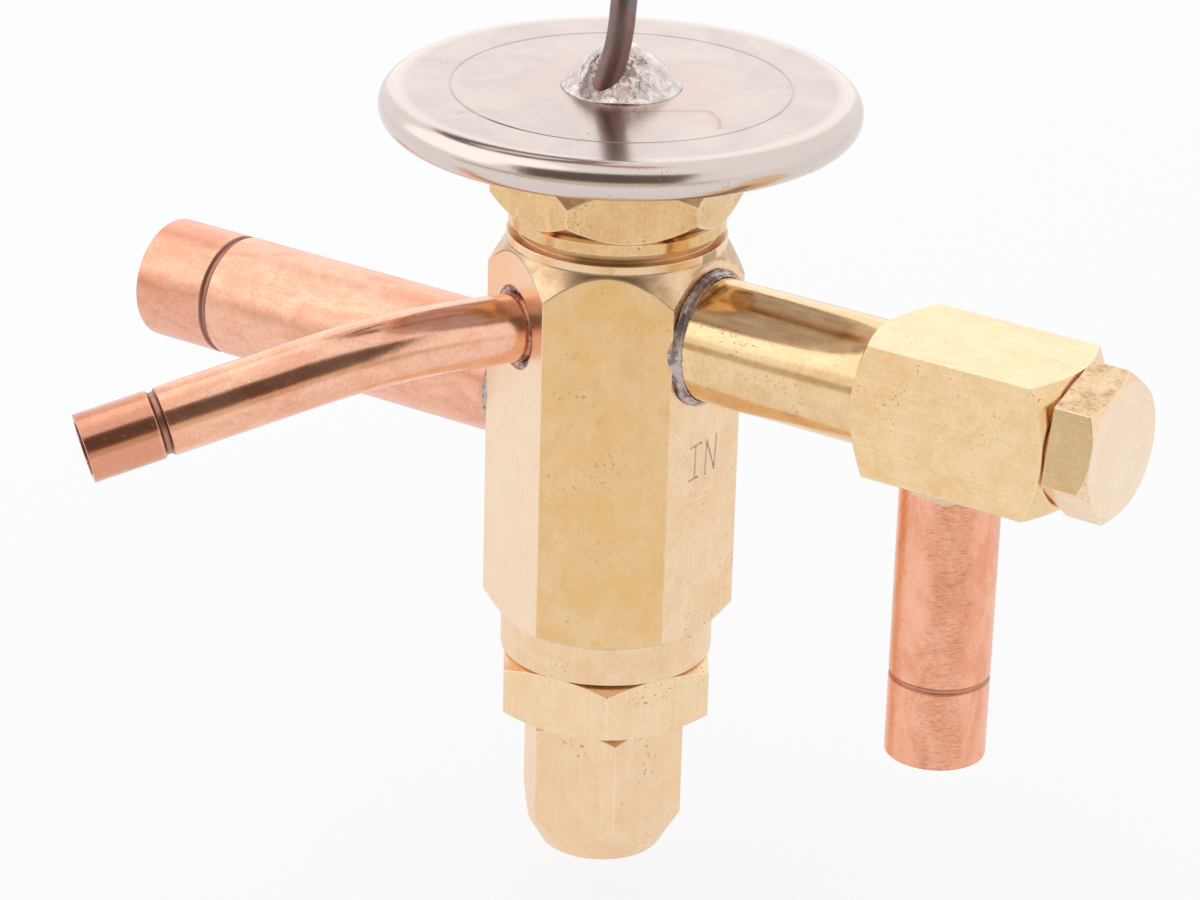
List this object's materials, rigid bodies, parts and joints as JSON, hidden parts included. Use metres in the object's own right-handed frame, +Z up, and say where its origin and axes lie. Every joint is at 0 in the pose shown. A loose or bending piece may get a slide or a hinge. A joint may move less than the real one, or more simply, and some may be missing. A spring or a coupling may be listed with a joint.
{
  "type": "thermostatic expansion valve",
  "caption": "Hexagonal brass expansion valve with a steel diaphragm case, capillary and sensing bulb, strainer inlet, outlet and equalizer tubes.",
  "frame": {"origin": "centre of the inlet tube's mouth, where the liquid line's pipe goes in", "axes": "+Z up along the body's axis towards the diaphragm case, +X from the body's axis towards the inlet arm and the strainer cap, so the outlet tube points along -X and the equalizer tube to the front, -Y"},
  "size_m": [0.1306, 0.0813, 0.1549],
  "materials": {
    "brass": "satin, machined from bar",
    "arm_brass": "polished",
    "inner_brass": "machined",
    "stainless": "satin",
    "inner_steel": "ground",
    "copper": "drawn copper, lightly tarnished",
    "capillary_copper": "drawn copper, darkened by heat",
    "solder": "cast solder with flux specks",
    "silver_braze": "cast braze",
    "packing": "matte"
  },
  "bodies": {
    "valve": {"arm_braze": "silver_braze", "bottom_gasket": "packing", "bottom_nut": "brass", "capillary_coil": "capillary_copper", "capillary_tail": "capillary_copper", "capillary_tube": "capillary_copper", "coil_tie": "inner_steel", "diaphragm": "stainless", "element_case": "stainless", "element_cover": "stainless", "element_hub": "brass", "equalizer_braze": "silver_braze", "equalizer_tube": "copper", "inlet_arm": "arm_brass", "inlet_braze": "silver_braze", "inlet_tube": "copper", "outlet_braze": "silver_braze", "outlet_tube": "copper", "packing_gland": "inner_brass", "sensing_bulb": "capillary_copper", "solder_mound": "solder", "stem_packing": "packing", "strainer_housing": "brass", "superheat_spring": "inner_steel", "valve_body": "brass", "valve_seat": "inner_steel"},
    "pin_assembly": {"buffer_plate": "stainless", "push_rods": "inner_steel", "pin_carrier": "inner_brass", "valve_pin": "inner_steel"},
    "adjusting_stem": {"adjusting_stem": "inner_steel"},
    "spring_guide": {"spring_guide": "inner_brass"},
    "seal_cap_carriage": {"seal_cap_gasket": "packing"},
    "seal_cap": {"seal_cap": "brass"},
    "strainer_carriage": {"strainer_gasket": "packing", "strainer_screen": "inner_steel"},
    "strainer_cap": {"strainer_cap": "brass"}
  },
  "joints": [
    {"name": "valve_stroke", "type": "slide", "parent": "valve", "child": "pin_assembly", "axis": [0, 0, -1], "range_m": [0, 0.0008], "stiffness_N_per_m": 5000, "deforming": ["superheat_spring"]},
    {"name": "stem_turn", "type": "hinge", "parent": "valve", "child": "adjusting_stem", "pos_m": [-0.045, 0, -0.02], "axis": [0, 0, 1], "range_deg": [-1081, 2161]},
    {"name": "guide_travel", "type": "slide", "parent": "valve", "child": "spring_guide", "axis": [0, 0, 1], "range_m": [-0.0015, 0.003], "deforming": ["superheat_spring"]},
    {"name": "seal_cap_travel", "type": "slide", "parent": "valve", "child": "seal_cap_carriage", "axis": [0, 0, -1], "range_m": [0, 0.0076]},
    {"name": "seal_cap_turn", "type": "hinge", "parent": "seal_cap_carriage", "child": "seal_cap", "pos_m": [-0.045, 0, -0.0253], "axis": [0, 0, -1], "range_deg": [-1, 2737]},
    {"name": "strainer_travel", "type": "slide", "parent": "valve", "child": "strainer_carriage", "axis": [1, 0, 0], "range_m": [0, 0.0065]},
    {"name": "strainer_cap_turn", "type": "hinge", "parent": "strainer_carriage", "child": "strainer_cap", "pos_m": [0.0204, 0, 0.042], "axis": [1, 0, 0], "range_deg": [-1, 2341]}
  ],
  "couplings": [
    {"joint": "stem_turn", "follows": "guide_travel", "rad_per_m": 12566},
    {"joint": "seal_cap_turn", "follows": "seal_cap_travel", "rad_per_m": 6283.2},
    {"joint": "strainer_cap_turn", "follows": "strainer_travel", "rad_per_m": 6283.2}
  ]
}
